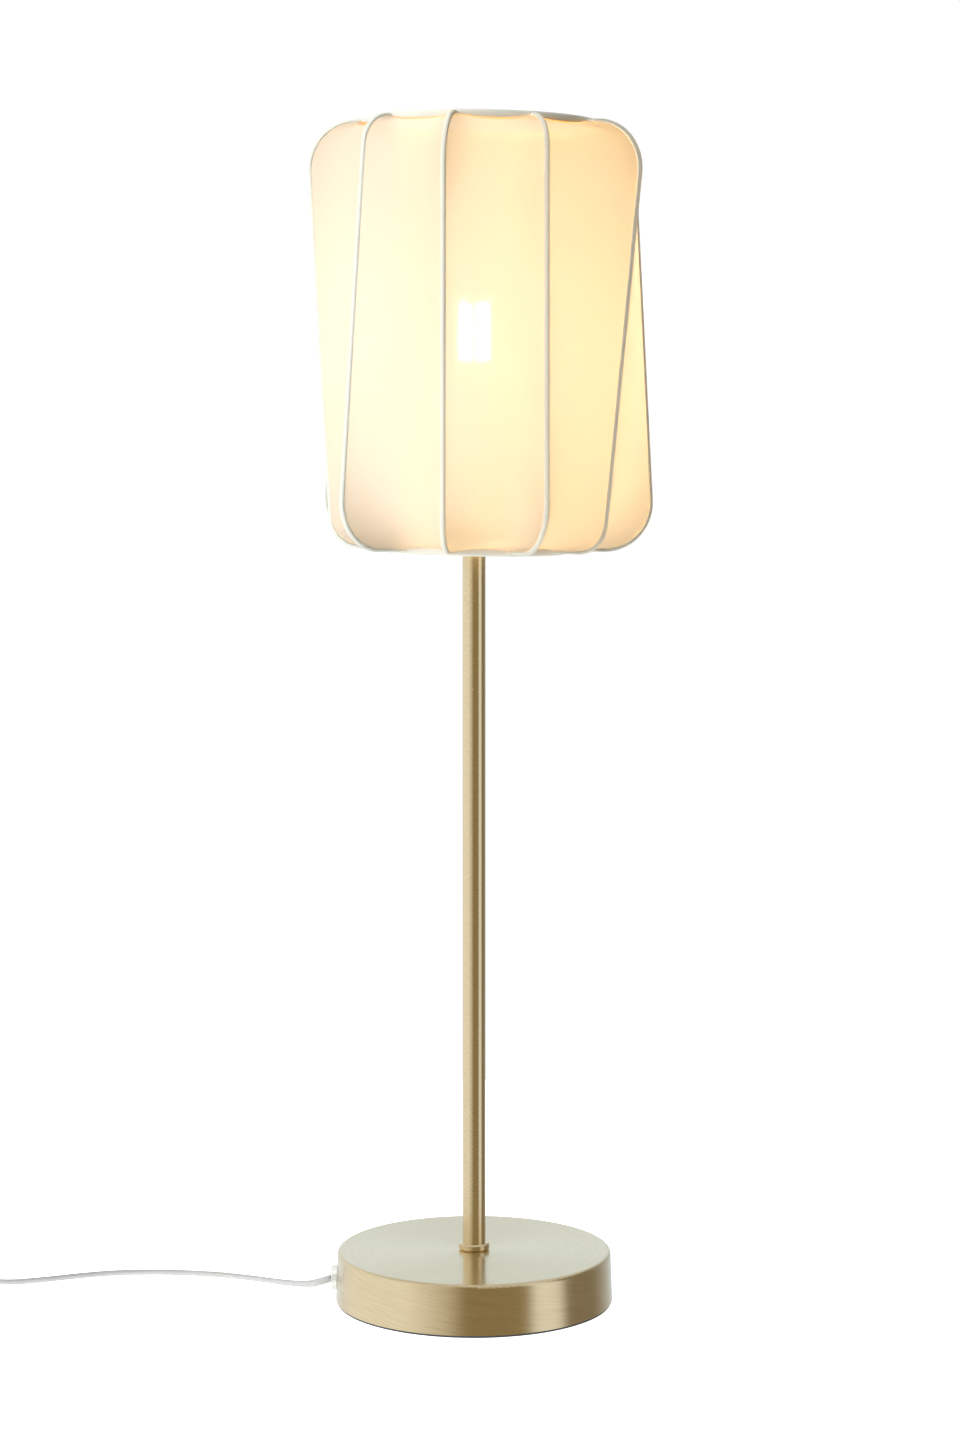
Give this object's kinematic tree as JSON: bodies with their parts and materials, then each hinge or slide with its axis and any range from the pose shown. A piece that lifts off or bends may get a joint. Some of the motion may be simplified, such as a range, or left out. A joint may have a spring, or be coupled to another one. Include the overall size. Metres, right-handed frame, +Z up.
{
  "type": "table lamp",
  "caption": "Table lamp with a round brass base, slim brass stem and a fabric shade stretched over bent wire ribs.",
  "frame": {"origin": "centre of the base's underside, on the table, under the stem's axis", "axes": "+Z up along the stem, -Y towards the pictured front, -X the side where the lead leaves"},
  "size_m": [0.6346, 0.2457, 0.817],
  "materials": {
    "brass": "antique brushed",
    "steel": "zinc plated",
    "iron": "rough cast, painted",
    "pad": "dark foam pad",
    "clear_plastic": "clear",
    "white_plastic": "moulded",
    "lead": "clear sheath over two conductors",
    "contact_brass": "bright",
    "cap_metal": "nickel plated",
    "glass": "clear",
    "filament": "lit",
    "white_wire": "white powder coat",
    "fabric": "thin stretch knit"
  },
  "bodies": {
    "root": {"base_cover": "brass", "base_weight": "iron", "base_bottom_plate": "steel", "base_pad": "pad", "base_screws": "steel", "cord_grommet": "clear_plastic", "cord_clamp": "white_plastic", "stem_collar": "brass", "stem_tube": "brass", "stem_rod": "steel", "base_washer": "steel", "rod_nuts": "steel", "holder_cup": "brass", "holder_cap": "white_plastic", "holder_skirt": "white_plastic", "holder_core": "white_plastic", "holder_shell": "contact_brass", "holder_contact": "contact_brass", "holder_terminals": "contact_brass", "shade_ring_nut": "white_plastic", "lead_inner": "lead", "shade_spider": "white_wire", "shade_top_ring": "white_wire", "shade_bottom_ring": "white_wire", "shade_binding": "fabric", "switch_base": "clear_plastic", "switch_cover": "clear_plastic", "switch_contacts": "contact_brass", "switch_screws": "steel", "plug_body": "clear_plastic", "plug_pins": "cap_metal", "lead_run": "lead", "lead_coil": "lead", "shade_rib_01": "white_wire", "shade_panel_01": "fabric", "shade_rib_02": "white_wire", "shade_panel_02": "fabric", "shade_rib_03": "white_wire", "shade_panel_03": "fabric", "shade_rib_04": "white_wire", "shade_panel_04": "fabric", "shade_rib_05": "white_wire", "shade_panel_05": "fabric", "shade_rib_06": "white_wire", "shade_panel_06": "fabric", "shade_rib_07": "white_wire", "shade_panel_07": "fabric", "shade_rib_08": "white_wire", "shade_panel_08": "fabric", "shade_rib_09": "white_wire", "shade_panel_09": "fabric", "shade_rib_10": "white_wire", "shade_panel_10": "fabric"},
    "bulb": {"bulb_glass": "glass", "bulb_cap": "cap_metal", "bulb_cap_end": "cap_metal", "bulb_mount": "glass", "bulb_filaments": "filament"},
    "rocker": {"switch_rocker": "clear_plastic"}
  },
  "joints": [
    {"name": "bulb_turn", "type": "hinge", "parent": "root", "child": "bulb", "pos_m": [0, 0, 0.62], "axis": [0, 0, 1], "range_deg": [0, 360]},
    {"name": "switch_rocker", "type": "hinge", "parent": "root", "child": "rocker", "pos_m": [-0.397, 0.033, 0.0124], "axis": [0, -1, 0], "range_deg": [0, 16]}
  ]
}
